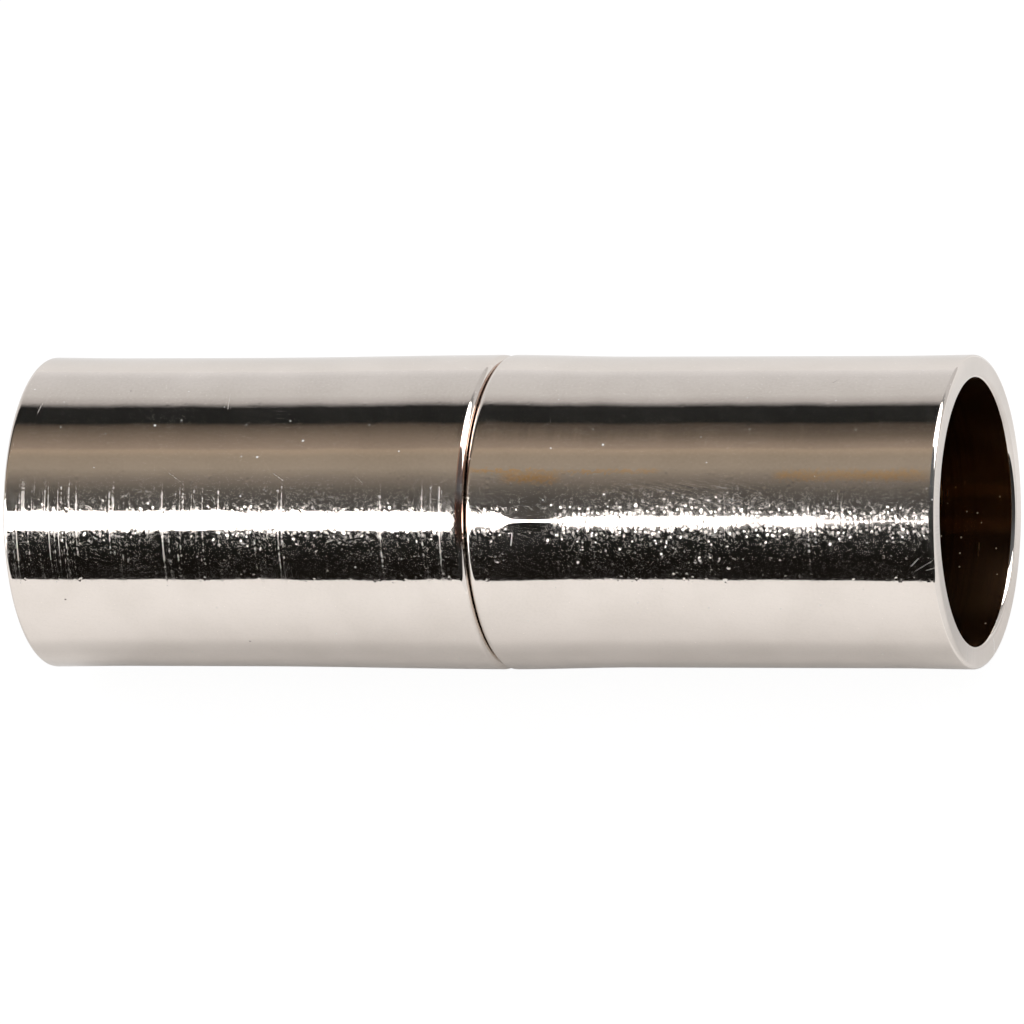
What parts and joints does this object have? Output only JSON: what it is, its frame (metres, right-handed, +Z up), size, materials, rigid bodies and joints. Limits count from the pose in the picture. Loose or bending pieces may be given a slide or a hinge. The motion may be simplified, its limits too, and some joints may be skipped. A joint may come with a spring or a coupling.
{
  "type": "magnetic clasp",
  "caption": "Round glue-in magnetic cord clasp: a plug sleeve and a socket sleeve that meet end to end and are held shut by disc magnets.",
  "frame": {"origin": "on the clasp's axis, in the plane where the two halves meet, which is the middle of the shut clasp", "axes": "+X along the axis towards the plug half's cord mouth, -X towards the socket half's, +Z up as the clasp lies on its side"},
  "size_m": [0.022, 0.0072, 0.0072],
  "materials": {
    "polished_plate": "polished silver-coloured plate with fine circular brushing and light handling scratches",
    "magnet_plate": "nickel-plated magnet, satin face"
  },
  "bodies": {
    "socket_half": {"socket_sleeve": "polished_plate", "socket_magnet": "magnet_plate"},
    "plug_half": {"plug_sleeve": "polished_plate", "plug_magnet": "magnet_plate"}
  },
  "joints": [
    {"name": "pull_apart", "type": "slide", "parent": "socket_half", "child": "plug_half", "axis": [1, 0, 0], "range_m": [0, 0.008], "stiffness_N_per_m": 20}
  ]
}
